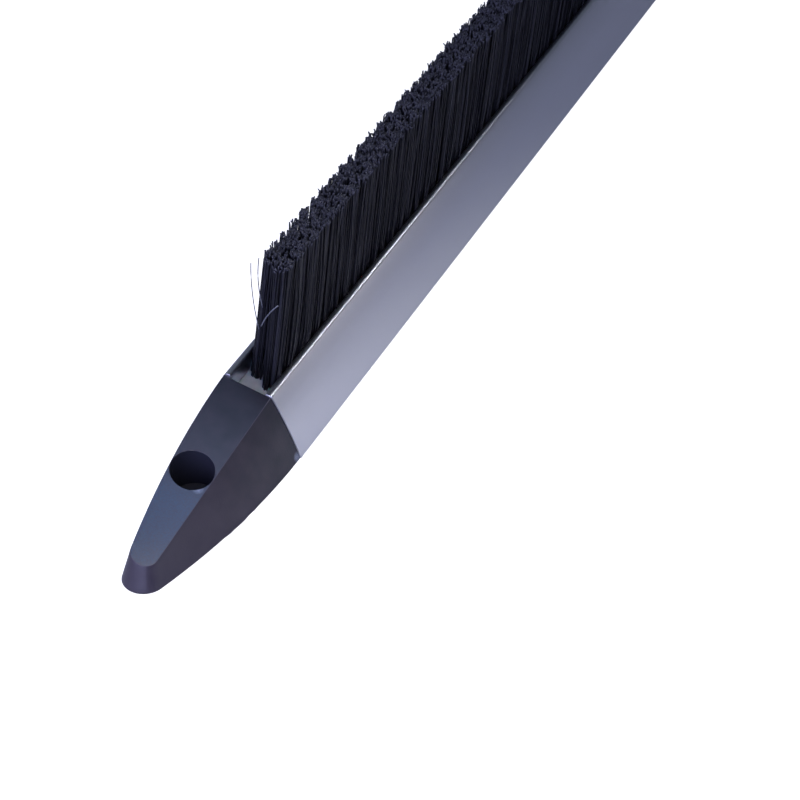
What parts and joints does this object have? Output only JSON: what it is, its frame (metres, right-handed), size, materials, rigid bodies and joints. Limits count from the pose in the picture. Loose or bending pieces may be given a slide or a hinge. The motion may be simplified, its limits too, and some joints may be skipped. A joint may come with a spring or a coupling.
{
  "type": "brush seal strip",
  "caption": "Long brush strip: an extruded aluminium rail with a trapezoid section holds dense black nylon tufts, and a tapered moulded cap with a screw hole closes one end.",
  "frame": {"origin": "middle of the bounding box in plan, at the height of the rail's base", "axes": "+Y along the rail from the capped end to the open end, +X across it towards the low lip, the side the bristles lean to, +Z out of the base"},
  "size_m": [0.0268, 1.0536, 0.0465],
  "materials": {
    "anodised_aluminium": "natural satin anodised extrusion",
    "white_polypropylene": "extruded, slightly glossy",
    "black_nylon": "trimmed crimped filaments",
    "graphite_abs": "injection moulded, fine spark texture"
  },
  "bodies": {
    "root": {"aluminium_rail": "anodised_aluminium", "bristle_holder": "white_polypropylene", "tuft_row_low": "black_nylon", "tuft_row_high": "black_nylon", "end_cap": "graphite_abs"}
  },
  "joints": []
}
